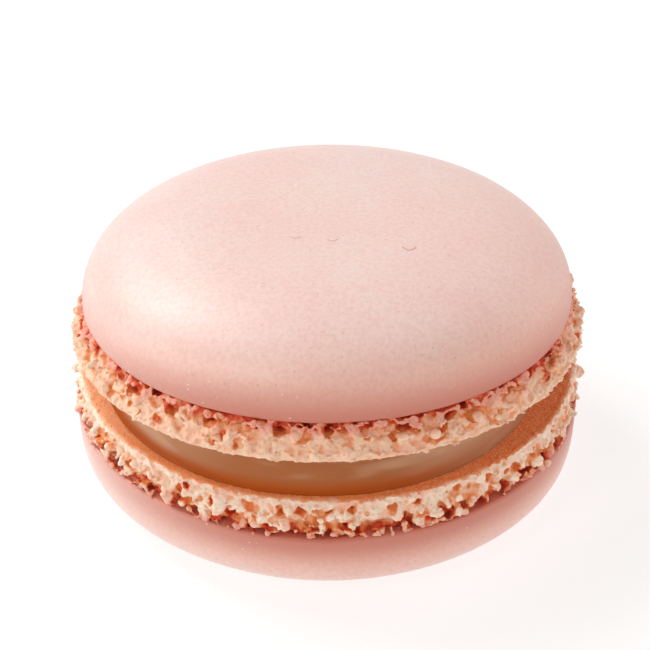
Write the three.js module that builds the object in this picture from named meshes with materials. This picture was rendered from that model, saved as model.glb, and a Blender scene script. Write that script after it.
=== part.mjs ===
// A French macaron: two domed almond-meringue shells, each baked in one piece with its ruffled foot, and a
// disc of smooth cream between their flat undersides. Units are millimetres and +Z is up. The origin is the
// middle of the small flat spot that the lower shell rests on, at the top of its dome, which faces down.
import * as THREE from "three";

// Both shells, seen with the flat underside down and the dome up.
const LOWER_SHELL = {
  crownRadius: 23.4,
  crownHeight: 7.0,
  crownRoundness: 4.1,
  crownFullness: 5.1,
  footHeight: 3.9,
  lipRadius: 23.1,
  footBulge: 0.35,
  flatSpotRadius: 11,
  ruffleTurn: 0.9,
  lipWave: 0.25,
  lipWaveTowards: Math.PI,
};
const UPPER_SHELL = {
  crownRadius: 22.0,
  crownHeight: 7.2,
  crownRoundness: 3.7,
  crownFullness: 2.25,
  footHeight: 3.2,
  lipRadius: 23.5,
  footBulge: 0.25,
  flatSpotRadius: 2,
  ruffleTurn: 3.7,
  lipWave: 0,
  lipWaveTowards: 0,
};
// The upper shell leans: the slope along X and along Y of its underside, and the lesser slope of its dome.
const UNDERSIDE_LEAN = { alongX: 0.016, alongY: -0.029 };
const DOME_LEAN = { alongX: 0.008, alongY: -0.02 };
// Room between the two undersides at the axis, which the cream fills.
const CREAM_THICKNESS = 3.75;
// The cream was pressed out unevenly, towards the front and a little to the left.
const CREAM = { radius: 19.8, waist: 0.35, offsetX: -0.5, offsetY: -2.3 };
// Between the cream and the leaning shell above it.
const SEAT_GAP = 0.3;

const SEGMENTS = 108;
const FOOT_ROWS = 8;
const CROWN_ROWS = 9;
const CREAM_ROWS = 4;
const CREAM_SEGMENTS = 72;
// Ruffles of the foot, each a wave round the shell: how many lobes, how far they stand out, and how far a
// lobe shifts round from the foot's lip to the crown, in turns of its own wave.
const RUFFLES = [
  { lobes: 9, height: 0.1, drift: 0.2 },
  { lobes: 23, height: 0.16, drift: 0.5 },
  { lobes: 37, height: 0.2, drift: -0.6 },
];
// The ruffles swell and fade over the foot as a half wave that is already this far along at the lip.
const RUFFLE_START = 0.15;
// The underside is flat out to the cream's reach, and its rim may wave only beyond that.
const FLAT_UNDERSIDE_RADIUS = CREAM.radius + Math.hypot(CREAM.offsetX, CREAM.offsetY) + SEAT_GAP;

const baked = (name, color, roughness) =>
  new THREE.MeshStandardMaterial({ name, color, roughness, metalness: 0 });
const shellMaterial = baked("shell", 0xedc0b2, 0.6);
const creamMaterial = baked("cream", 0xd2a176, 0.35);

// The dome above the foot, from its widest ring up to the flat spot: a superellipse turned about the axis.
function crownHeightAt(share, shell) {
  return shell.crownHeight * Math.pow(1 - Math.pow(share, shell.crownRoundness), 1 / shell.crownFullness);
}

// Half the section of a shell, from the axis along the underside, up the foot and over the crown.
function shellProfile(shell) {
  const points = [new THREE.Vector2(0, 0), new THREE.Vector2(FLAT_UNDERSIDE_RADIUS, 0)];
  for (let row = 0; row <= FOOT_ROWS; row++) {
    const up = row / FOOT_ROWS;
    const straight = THREE.MathUtils.lerp(shell.lipRadius, shell.crownRadius, up);
    const radius = straight + shell.footBulge * Math.sin(Math.PI * up);
    points.push(new THREE.Vector2(radius, shell.footHeight * up));
  }
  const flatTop = shell.footHeight + crownHeightAt(shell.flatSpotRadius / shell.crownRadius, shell);
  for (let row = 1; row < CROWN_ROWS; row++) {
    // Rows crowd towards the rim, where the dome turns down.
    const turn = (Math.PI / 2) * (row / CROWN_ROWS);
    const radius = THREE.MathUtils.lerp(shell.flatSpotRadius, shell.crownRadius, Math.cos(turn));
    points.push(new THREE.Vector2(radius, shell.footHeight + crownHeightAt(radius / shell.crownRadius, shell)));
  }
  points.push(new THREE.Vector2(shell.flatSpotRadius, flatTop), new THREE.Vector2(0, flatTop));
  return points;
}

// A solid of revolution about Z from a section given as (radius, height).
function turned(profile, segments) {
  return new THREE.LatheGeometry(profile, segments).rotateX(Math.PI / 2);
}

// Moves each vertex of a geometry by a function of its radius, angle and place.
function reshape(geometry, move) {
  const position = geometry.getAttribute("position");
  const point = new THREE.Vector3();
  for (let i = 0; i < position.count; i++) {
    point.fromBufferAttribute(position, i);
    move(point, Math.hypot(point.x, point.y), Math.atan2(point.y, point.x));
    position.setXYZ(i, point.x, point.y, point.z);
  }
  return geometry;
}

// How far the ruffled foot stands out from its plain section, at an angle and a share of its height.
function ruffleAt(angle, up, shell) {
  const strength = Math.sin(Math.PI * THREE.MathUtils.lerp(RUFFLE_START, 1, up));
  const waves = RUFFLES.map(
    ({ lobes, height, drift }) => height * Math.cos(lobes * (angle + shell.ruffleTurn) + 2 * Math.PI * drift * up),
  );
  return strength * waves.reduce((sum, wave) => sum + wave, 0);
}

// One shell with its underside on Z = 0 and its dome up.
function shellGeometry(shell) {
  const rimStart = (FLAT_UNDERSIDE_RADIUS + shell.lipRadius) / 2;
  return reshape(turned(shellProfile(shell), SEGMENTS), (point, radius, angle) => {
    if (radius < rimStart || point.z > shell.footHeight) return;
    const up = point.z / shell.footHeight;
    const wider = (radius + ruffleAt(angle, up, shell)) / radius;
    point.x *= wider;
    point.y *= wider;
    point.z -= shell.lipWave * Math.cos(angle - shell.lipWaveTowards) * (1 - up);
  });
}

// How much a lean lifts a point of the plan.
function lift(lean, x, y) {
  return lean.alongX * x + lean.alongY * y;
}

// The cream: a round disc with a slightly hollow side, whose top follows the shell above it.
function creamGeometry(bottom, top) {
  const profile = [new THREE.Vector2(0, 0)];
  for (let row = 0; row <= CREAM_ROWS; row++) {
    const up = row / CREAM_ROWS;
    profile.push(new THREE.Vector2(CREAM.radius - CREAM.waist * Math.sin(Math.PI * up), up));
  }
  profile.push(new THREE.Vector2(0, 1));
  return reshape(turned(profile, CREAM_SEGMENTS), (point) => {
    point.x += CREAM.offsetX;
    point.y += CREAM.offsetY;
    const level = top + lift(UNDERSIDE_LEAN, point.x, point.y) - SEAT_GAP;
    point.z = THREE.MathUtils.lerp(bottom, level, point.z);
  });
}

function named(name, geometry, material) {
  const mesh = new THREE.Mesh(geometry, material);
  mesh.name = name;
  return mesh;
}

const lowerUnderside =
  LOWER_SHELL.footHeight + crownHeightAt(LOWER_SHELL.flatSpotRadius / LOWER_SHELL.crownRadius, LOWER_SHELL);
const upperUndersideAtAxis = lowerUnderside + CREAM_THICKNESS;

const macaron = new THREE.Group();

const lower = named("lower_shell", shellGeometry(LOWER_SHELL), shellMaterial);
lower.rotation.x = Math.PI;
lower.position.z = lowerUnderside;
macaron.add(lower);

macaron.add(named("cream_filling", creamGeometry(lowerUnderside, upperUndersideAtAxis), creamMaterial));

const upperGeometry = reshape(shellGeometry(UPPER_SHELL), (point) => {
  const up = THREE.MathUtils.clamp(point.z / UPPER_SHELL.footHeight, 0, 1);
  const underside = lift(UNDERSIDE_LEAN, point.x, point.y);
  const dome = lift(DOME_LEAN, point.x, point.y);
  point.z += upperUndersideAtAxis + THREE.MathUtils.lerp(underside, dome, up);
});
macaron.add(named("upper_shell", upperGeometry, shellMaterial));

export default macaron;
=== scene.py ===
"""A French macaron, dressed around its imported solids.

Two baked shells, each a smooth dome on a ruffled, porous foot, hold a disc of caramel cream between their
flat undersides. Every mesh is modelled in millimetres in the macaron's own frame and scaled to metres last.
"""

import logging
import math
import random
from dataclasses import dataclass, field
from enum import Enum
from typing import Iterable

import bmesh
import bpy
import numpy as np
from mathutils import Matrix, Vector, noise
from mathutils.bvhtree import BVHTree


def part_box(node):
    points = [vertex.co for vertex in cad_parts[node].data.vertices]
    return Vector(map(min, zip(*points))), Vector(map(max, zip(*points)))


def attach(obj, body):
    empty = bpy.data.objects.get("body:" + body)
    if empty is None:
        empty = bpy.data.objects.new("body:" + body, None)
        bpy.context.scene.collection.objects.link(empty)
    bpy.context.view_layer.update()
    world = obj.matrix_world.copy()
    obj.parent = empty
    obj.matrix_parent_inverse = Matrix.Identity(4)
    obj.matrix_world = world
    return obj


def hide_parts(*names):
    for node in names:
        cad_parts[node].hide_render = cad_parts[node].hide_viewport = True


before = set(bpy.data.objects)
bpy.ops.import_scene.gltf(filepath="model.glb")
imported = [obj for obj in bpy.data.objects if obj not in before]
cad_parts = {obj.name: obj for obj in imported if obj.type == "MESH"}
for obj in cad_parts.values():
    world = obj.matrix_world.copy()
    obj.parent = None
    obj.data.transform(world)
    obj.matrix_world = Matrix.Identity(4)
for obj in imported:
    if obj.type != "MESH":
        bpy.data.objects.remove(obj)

log = logging.getLogger("macaron")

METRES_PER_MM = 0.001

# Vertices nearer to each other than this are one, in millimetres.
SAME_PLACE = 1e-4
# How high the lowest knob stands beside the highest.
LOWEST_KNOB = 0.4
# How far off the skin a ray starts, in millimetres, so that it doesn't meet its own face.
RAY_CLEARANCE = 0.03
HOLLOW_BLUR_ROUNDS = 2

# Points (radius, height) in order along an outline, in millimetres.
Section = list[tuple[float, float]]
# The least and the most of a measure, or where a smooth step starts and ends.
Range = tuple[float, float]
Colour = tuple[float, float, float]


# ---------------------------------------------------------------- mesh helpers


def spun(section: Section, steps: int) -> bmesh.types.BMesh:
    """Turns a section about the Z axis into a closed solid of revolution.

    Args:
        section: the outline, which starts and ends on the axis or else closes on itself.
        steps: how many segments go round.

    Returns:
        A new bmesh, its faces pointing outwards.
    """
    bm = bmesh.new()
    ring = [bm.verts.new((radius, 0.0, height)) for radius, height in section]
    on_axis = section[0][0] == 0.0 and section[-1][0] == 0.0
    ends = zip(ring, ring[1:]) if on_axis else zip(ring, ring[1:] + ring[:1])
    edges = [bm.edges.new(pair) for pair in ends]
    bmesh.ops.spin(
        bm, geom=ring + edges, axis=(0, 0, 1), cent=(0, 0, 0), dvec=(0, 0, 0),
        angle=2 * math.pi, steps=steps, use_merge=True, use_normal_flip=False, use_duplicate=False,
    )
    bmesh.ops.remove_doubles(bm, verts=bm.verts, dist=SAME_PLACE)
    bmesh.ops.recalc_face_normals(bm, faces=bm.faces)
    return bm


def as_object(bm: bmesh.types.BMesh, name: str) -> bpy.types.Object:
    """Puts a bmesh into a new object of the scene.

    Args:
        bm: the bmesh, which is freed.
        name: the name of the object and of its mesh.

    Returns:
        The new object.
    """
    mesh = bpy.data.meshes.new(name)
    bm.to_mesh(mesh)
    bm.free()
    piece = bpy.data.objects.new(name, mesh)
    bpy.context.scene.collection.objects.link(piece)
    return piece


def discard(piece: bpy.types.Object) -> None:
    """Removes a helper object and its mesh.

    Args:
        piece: the object to remove.
    """
    mesh = piece.data
    bpy.data.objects.remove(piece)
    bpy.data.meshes.remove(mesh)


def apply_modifiers(piece: bpy.types.Object) -> None:
    """Replaces the mesh of a piece by what its modifiers make of it.

    Args:
        piece: the object, which keeps its name.
    """
    graph = bpy.context.evaluated_depsgraph_get()
    finished = bpy.data.meshes.new_from_object(piece.evaluated_get(graph))
    worn = piece.data
    piece.modifiers.clear()
    piece.data = finished
    finished.name = piece.name
    bpy.data.meshes.remove(worn)


def voxel_melt(piece: bpy.types.Object, voxel: float) -> None:
    """Melts all that overlaps in a mesh into one closed skin of even small faces.

    Args:
        piece: the object to melt.
        voxel: the size of the faces, in the mesh's own unit.
    """
    remesh = piece.modifiers.new("melt", "REMESH")
    remesh.mode = "VOXEL"
    remesh.voxel_size = voxel
    remesh.adaptivity = 0.0
    apply_modifiers(piece)


def carve(piece: bpy.types.Object, tool: bpy.types.Object) -> None:
    """Cuts the closed mesh of a tool out of a piece.

    Args:
        piece: the object to cut.
        tool: what is cut away, which is discarded.
    """
    cut = piece.modifiers.new("carve", "BOOLEAN")
    cut.operation = "DIFFERENCE"
    cut.solver = "MANIFOLD"
    cut.object = tool
    apply_modifiers(piece)
    discard(tool)


def coordinates(mesh: bpy.types.Mesh) -> np.ndarray:
    """Reads where the vertices of a mesh lie.

    Args:
        mesh: the mesh to read.

    Returns:
        An array of rows (x, y, z).
    """
    flat = np.empty(len(mesh.vertices) * 3, np.float32)
    mesh.vertices.foreach_get("co", flat)
    return flat.reshape(-1, 3).astype(float)


def normals(mesh: bpy.types.Mesh) -> np.ndarray:
    """Reads which way the skin of a mesh faces at each vertex.

    Args:
        mesh: the mesh to read.

    Returns:
        An array of unit rows (x, y, z).
    """
    flat = np.empty(len(mesh.vertices) * 3, np.float32)
    mesh.vertex_normals.foreach_get("vector", flat)
    return flat.reshape(-1, 3).astype(float)


def set_coordinates(mesh: bpy.types.Mesh, points: np.ndarray) -> None:
    """Writes an array of rows (x, y, z) back to the vertices of a mesh."""
    mesh.vertices.foreach_set("co", points.astype(np.float32).ravel())
    mesh.update()


def set_attribute(mesh: bpy.types.Mesh, name: str, values: np.ndarray) -> None:
    """Stores one number for each vertex of a mesh under a name."""
    layer = mesh.attributes.new(name, "FLOAT", "POINT")
    layer.data.foreach_set("value", values.astype(np.float32))


def noise_at(points: np.ndarray, scale: float, offset: Vector) -> np.ndarray:
    """Smooth noise from -1 to 1 at each point, with features about `scale` millimetres across."""
    return np.array([noise.noise(Vector(point) / scale + offset) for point in points])


def knobs_at(points: np.ndarray, scale: float, offset: Vector) -> np.ndarray:
    """Round knobs of uneven height, side by side.

    Args:
        points: rows (x, y, z), in millimetres.
        scale: about how wide a knob is, in millimetres.
        offset: shifts the pattern.

    Returns:
        The height at each point, from 0 in the creases up to 1.
    """
    cells = [noise.voronoi(Vector(point) / scale + offset) for point in points]
    first, second = np.array([distances[:2] for distances, _ in cells]).T
    height = np.array([noise.cell(centres[0]) for _, centres in cells])
    smallest = 1e-6
    dome = np.sqrt(1 - np.clip(first / np.maximum(second, smallest), 0.0, 1.0) ** 2)
    return dome * (LOWEST_KNOB + (1 - LOWEST_KNOB) * np.clip(height, 0.0, 1.0))


def smooth_ramp(values: np.ndarray, low: float, high: float) -> np.ndarray:
    """0 below low, 1 above high and a smooth step between."""
    share = np.clip((values - low) / (high - low), 0.0, 1.0)
    return share * share * (3 - 2 * share)


def relax(mesh: bpy.types.Mesh, strength: float, rounds: int) -> None:
    """Evens out the small steps of a mesh by moving vertices towards their neighbours.

    Args:
        mesh: the mesh to even out.
        strength: how far they move, from 0 to 1.
        rounds: how many times.
    """
    bm = bmesh.new()
    bm.from_mesh(mesh)
    for _ in range(rounds):
        bmesh.ops.smooth_vert(
            bm, verts=bm.verts, factor=strength, use_axis_x=True, use_axis_y=True, use_axis_z=True
        )
    bm.to_mesh(mesh)
    bm.free()


def absorb(piece: bpy.types.Object, extra: bpy.types.Object) -> None:
    """Adds the mesh of a helper object to a piece.

    Args:
        piece: the object that grows.
        extra: the helper, which is discarded.
    """
    bm = bmesh.new()
    bm.from_mesh(piece.data)
    bm.from_mesh(extra.data)
    bm.to_mesh(piece.data)
    bm.free()
    discard(extra)


def keep_largest(mesh: bpy.types.Mesh) -> None:
    """Removes every loose bit of a mesh, and closed bubbles inside it, so that its main body is left.

    Args:
        mesh: the mesh to clear.
    """
    bm = bmesh.new()
    bm.from_mesh(mesh)
    waiting = set(bm.verts)
    islands = []
    while waiting:
        reached = [waiting.pop()]
        for vert in reached:
            for edge in vert.link_edges:
                other = edge.other_vert(vert)
                if other in waiting:
                    waiting.remove(other)
                    reached.append(other)
        islands.append(reached)
    islands.sort(key=len)
    loose = [vert for island in islands[:-1] for vert in island]
    bmesh.ops.delete(bm, geom=loose, context="VERTS")
    bm.to_mesh(mesh)
    bm.free()


def blurred(mesh: bpy.types.Mesh, values: np.ndarray, rounds: int) -> np.ndarray:
    """Averages a number of each vertex with those of its neighbours.

    Args:
        mesh: the mesh whose edges say which vertices are neighbours.
        values: one number for each vertex.
        rounds: how many times to average.

    Returns:
        The averaged numbers.
    """
    ends = np.empty(len(mesh.edges) * 2, np.int32)
    mesh.edges.foreach_get("vertices", ends)
    first, second = ends.reshape(-1, 2).T
    count = np.bincount(first, minlength=len(values)) + np.bincount(second, minlength=len(values))
    for _ in range(rounds):
        total = np.bincount(first, values[second], len(values))
        total += np.bincount(second, values[first], len(values))
        values = 0.5 * values + 0.5 * total / np.maximum(count, 1)
    return values


def hollowness(
    mesh: bpy.types.Mesh, shade: bpy.types.Mesh, reach: float, rays: int, seed: int
) -> np.ndarray:
    """How much of the open space over each vertex is walled in, from 0 on a peak to 1 deep in a hole.

    Args:
        mesh: the mesh to measure, in millimetres.
        shade: another mesh that may wall it in.
        reach: how far a wall may be and still count.
        rays: how many directions are tried at each vertex.
        seed: seeds the choice of directions.

    Returns:
        One number for each vertex.
    """
    both = bmesh.new()
    both.from_mesh(mesh)
    both.from_mesh(shade)
    tree = BVHTree.FromBMesh(both)
    both.free()
    random_turn = np.random.default_rng(seed).uniform(0, 2 * math.pi, len(mesh.vertices))
    up = normals(mesh)
    side = np.cross(up, np.where(np.abs(up[:, 2:]) < 0.9, (0.0, 0.0, 1.0), (1.0, 0.0, 0.0)))
    side /= np.linalg.norm(side, axis=1)[:, None]
    other = np.cross(up, side)
    start = coordinates(mesh) + RAY_CLEARANCE * up
    starts = [Vector(point) for point in start]
    walled = np.zeros(len(start))
    for ray in range(rays):
        lean = math.sqrt((ray + 0.5) / rays)
        turn = random_turn + ray * math.pi * (3 - math.sqrt(5))
        aim = up * math.sqrt(1 - lean * lean)
        aim += lean * (np.cos(turn)[:, None] * side + np.sin(turn)[:, None] * other)
        hit = [tree.ray_cast(p, Vector(a), reach)[0] is not None for p, a in zip(starts, aim)]
        walled += np.array(hit, float)
    return blurred(mesh, walled / rays, HOLLOW_BLUR_ROUNDS)


class Blobs:
    """Round lumps of dough or gas, gathered as small faceted balls to be melted together."""

    def __init__(self, finest: int = 2) -> None:
        """Starts an empty gathering.

        Args:
            finest: how many times the faces of a ball are divided.
        """
        self.gathered = bmesh.new()
        ball = bmesh.new()
        bmesh.ops.create_icosphere(ball, subdivisions=finest, radius=1.0)
        self.template = bpy.data.meshes.new("ball")
        ball.to_mesh(self.template)
        ball.free()

    def add(self, centre: Vector, turn: float, size: tuple[float, float, float], tip: float = 0.0) -> None:
        """Adds a ball stretched along the radial, round-going and upright directions.

        Args:
            centre: where its middle is.
            turn: the angle of its radial direction about Z.
            size: its half lengths along those directions.
            tip: how far it is rolled about the radial direction.
        """
        place = (
            Matrix.Translation(centre)
            @ Matrix.Rotation(turn, 4, "Z")
            @ Matrix.Rotation(tip, 4, "X")
            @ Matrix.Diagonal((*size, 1.0))
        )
        copy = self.template.copy()
        copy.transform(place)
        self.gathered.from_mesh(copy)
        bpy.data.meshes.remove(copy)

    def into(self, bm: bmesh.types.BMesh) -> None:
        """Moves the gathered balls into another bmesh.

        Args:
            bm: the bmesh that takes them.
        """
        loose = bpy.data.meshes.new("loose")
        self.gathered.to_mesh(loose)
        bm.from_mesh(loose)
        bpy.data.meshes.remove(loose)
        self.close()

    def as_object(self, name: str) -> bpy.types.Object:
        """Makes the gathered balls an object.

        Args:
            name: the name of the object.

        Returns:
            The new object.
        """
        made = as_object(self.gathered, name)
        bpy.data.meshes.remove(self.template)
        return made

    def close(self) -> None:
        """Frees what the gathering holds."""
        self.gathered.free()
        bpy.data.meshes.remove(self.template)


# ---------------------------------------------------------------- where things lie


class Facing(Enum):
    """Which way a shell's dome points."""

    UP = "up"
    DOWN = "down"


@dataclass(frozen=True)
class Lean:
    """A slope along X and along Y."""

    along_x: float = 0.0
    along_y: float = 0.0

    def lift(self, points: np.ndarray) -> np.ndarray:
        """How much the slope lifts each point of an array of rows (x, y, z)."""
        return self.along_x * points[:, 0] + self.along_y * points[:, 1]


@dataclass(frozen=True)
class Seat:
    """Where a shell's flat underside lies, and how its underside and its dome lean.

    A shell is modelled with its underside on Z = 0 and its dome up, and this turns and lifts it into place.
    """

    facing: Facing
    underside: float
    underside_lean: Lean = Lean()
    dome_lean: Lean = Lean()

    def place(self, mesh: bpy.types.Mesh, foot_height: float) -> None:
        """Moves a shell's mesh to its place in the macaron.

        Args:
            mesh: a mesh in the shell's own frame, in millimetres.
            foot_height: the height over which the lean of the underside passes into that of the dome.
        """
        if self.facing is Facing.DOWN:
            mesh.transform(Matrix.Rotation(math.pi, 4, "X"))
        points = coordinates(mesh)
        up = np.clip(points[:, 2] / foot_height, 0.0, 1.0)
        under = self.underside_lean.lift(points)
        dome = self.dome_lean.lift(points)
        points[:, 2] += self.underside + under + (dome - under) * up
        set_coordinates(mesh, points)


@dataclass(frozen=True)
class ShellForm:
    """The sizes of one shell's section, in millimetres."""

    crown_radius: float
    crown_height: float
    crown_roundness: float
    crown_fullness: float
    foot_height: float
    lip_radius: float
    foot_bulge: float
    flat_spot: float

    def crown_level(self, radius: float) -> float:
        """Works out the height of the dome above the underside.

        Args:
            radius: how far from the middle.

        Returns:
            The height over that radius.
        """
        share = min(max(radius, self.flat_spot) / self.crown_radius, 1.0)
        drop = (1 - share**self.crown_roundness) ** (1 / self.crown_fullness)
        return self.foot_height + self.crown_height * drop

    def foot_reach(self, up: float) -> float:
        """The radius out to which the foot reaches at a share of its height."""
        straight = self.lip_radius + (self.crown_radius - self.lip_radius) * up
        return straight + self.foot_bulge * math.sin(math.pi * min(max(up, 0.0), 1.0))


# ---------------------------------------------------------------- shader parts

# The sockets of a Mix node that mixes colours, by number, because their names repeat.
MIX_SHARE, MIX_FIRST, MIX_SECOND = 0, 6, 7
MIX_RESULT = 2


class Nodes:
    """A short way to write shader nodes: each call adds one and joins its inputs."""

    def __init__(self, tree: bpy.types.NodeTree) -> None:
        """Works on a node tree."""
        self.tree = tree

    def add(self, kind: str, inputs: dict | None = None, **settings: object) -> bpy.types.Node:
        """Adds a node, its settings before its inputs.

        Args:
            kind: the node's type name, without its ShaderNode prefix.
            inputs: socket name or number to a value, or to an output socket to join.
            settings: properties of the node itself.

        Returns:
            The new node.
        """
        node = self.tree.nodes.new("ShaderNode" + kind)
        for name, value in settings.items():
            setattr(node, name, value)
        for name, value in (inputs or {}).items():
            if isinstance(value, bpy.types.NodeSocket):
                self.tree.links.new(value, node.inputs[name])
            else:
                node.inputs[name].default_value = value
        return node

    def math(self, operation: str, *values: object) -> bpy.types.NodeSocket:
        """Adds a Math node and returns its output."""
        return self.add("Math", dict(enumerate(values)), operation=operation).outputs[0]

    def step(self, value: object, low: float, high: float) -> bpy.types.NodeSocket:
        """A smooth step from 0 below low to 1 above high."""
        ends = {"Value": value, "From Min": low, "From Max": high}
        return self.add("MapRange", ends, interpolation_type="SMOOTHSTEP").outputs["Result"]

    def mix(self, share: object, first: object, second: object) -> bpy.types.NodeSocket:
        """Mixes two colours.

        Args:
            share: how much of the second colour there is, from 0 to 1.
            first: a colour, or an output socket that gives one.
            second: the same for the other colour.

        Returns:
            The mixed colour.
        """
        node = self.add("Mix", data_type="RGBA")
        for slot, value in zip((MIX_SHARE, MIX_FIRST, MIX_SECOND), (share, first, second)):
            if isinstance(value, bpy.types.NodeSocket):
                self.tree.links.new(value, node.inputs[slot])
            else:
                node.inputs[slot].default_value = (*value, 1.0) if isinstance(value, tuple) else value
        return node.outputs[MIX_RESULT]

    def noise(self, place: object, scale: float, detail: float = 2.0) -> bpy.types.NodeSocket:
        """Cloudy noise over a place, its features about 1/scale metres across."""
        return self.add("TexNoise", {"Vector": place, "Scale": scale, "Detail": detail}).outputs["Fac"]


class ShaderGroups:
    """The effects that more than one finish uses, each built once as a node group."""

    open_share = 0.45
    pore_edge: Range = (0.34, 0.12)
    pore_depth = 0.6

    def __init__(self) -> None:
        """Builds every group."""
        self.specks = self._specks()
        self.crumb = self._crumb()

    @staticmethod
    def _new(name: str, inputs: dict[str, float], outputs: dict[str, str]) -> tuple:
        """Makes a group that takes a place and some numbers.

        Args:
            name: the name of the group.
            inputs: the numbers it takes, by name, each with its usual value.
            outputs: what it gives, by name, each with its socket type.

        Returns:
            The group, its node writer, its input node and its output node.
        """
        tree = bpy.data.node_groups.new(name, "ShaderNodeTree")
        tree.interface.new_socket("Place", in_out="INPUT", socket_type="NodeSocketVector")
        for socket, value in inputs.items():
            made = tree.interface.new_socket(socket, in_out="INPUT", socket_type="NodeSocketFloat")
            made.default_value = value
        for socket, kind in outputs.items():
            tree.interface.new_socket(socket, in_out="OUTPUT", socket_type=kind)
        return tree, Nodes(tree), tree.nodes.new("NodeGroupInput"), tree.nodes.new("NodeGroupOutput")

    def _specks(self) -> bpy.types.NodeTree:
        """Builds tiny almond-skin specks.

        Returns:
            A group whose mask is 1 in each speck.
        """
        tree, nodes, given, made = self._new(
            "specks", {"Density": 900.0, "Size": 0.06, "Share": 0.5}, {"Mask": "NodeSocketFloat"}
        )
        spread = {"Vector": given.outputs["Place"], "Scale": given.outputs["Density"]}
        cells = nodes.add("TexVoronoi", spread)
        near = nodes.math("LESS_THAN", cells.outputs["Distance"], given.outputs["Size"])
        pick = nodes.add("SeparateColor", {"Color": cells.outputs["Color"]})
        chosen = nodes.math("LESS_THAN", pick.outputs["Red"], given.outputs["Share"])
        mask = nodes.math("MULTIPLY", near, chosen)
        tree.links.new(mask, made.inputs["Mask"])
        return tree

    def _crumb(self) -> bpy.types.NodeTree:
        """Builds the sandy grain of baked almond.

        Returns:
            A group that gives a height, and a mask of its pores.
        """
        tree, nodes, given, made = self._new(
            "crumb", {"Grain": 4200.0, "Pores": 2400.0},
            {"Height": "NodeSocketFloat", "Pore": "NodeSocketFloat"},
        )
        place = given.outputs["Place"]
        grain = nodes.add("TexNoise", {"Vector": place, "Scale": given.outputs["Grain"], "Detail": 3.0})
        cells = nodes.add("TexVoronoi", {"Vector": place, "Scale": given.outputs["Pores"]})
        pick = nodes.add("SeparateColor", {"Color": cells.outputs["Color"]})
        open_cell = nodes.math("LESS_THAN", pick.outputs["Red"], self.open_share)
        dip = nodes.step(cells.outputs["Distance"], *self.pore_edge)
        pore = nodes.math("MULTIPLY", dip, open_cell)
        sunk = nodes.math("MULTIPLY", pore, self.pore_depth)
        height = nodes.math("SUBTRACT", grain.outputs["Fac"], sunk)
        tree.links.new(height, made.inputs["Height"])
        tree.links.new(pore, made.inputs["Pore"])
        return tree


@dataclass(frozen=True)
class Finish:
    """What every finish shares: a name, a roughness and how light spreads inside it."""

    name: str
    roughness: float
    scatter: float
    scatter_scale: float
    scatter_radius: Colour = (1.0, 0.42, 0.28)

    def start(self) -> tuple[bpy.types.Material, Nodes, bpy.types.Node, bpy.types.NodeSocket]:
        """Makes the material with its Principled shader.

        Returns:
            The material, its node writer, the Principled node and the Object coordinates.
        """
        material = bpy.data.materials.new(self.name)
        material.use_nodes = True
        tree = material.node_tree
        shader = next(node for node in tree.nodes if node.type == "BSDF_PRINCIPLED")
        shader.inputs["Roughness"].default_value = self.roughness
        shader.inputs["Subsurface Weight"].default_value = self.scatter
        shader.inputs["Subsurface Scale"].default_value = self.scatter_scale
        shader.inputs["Subsurface Radius"].default_value = self.scatter_radius
        nodes = Nodes(tree)
        place = nodes.add("TexCoord").outputs["Object"]
        return material, nodes, shader, place


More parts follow.
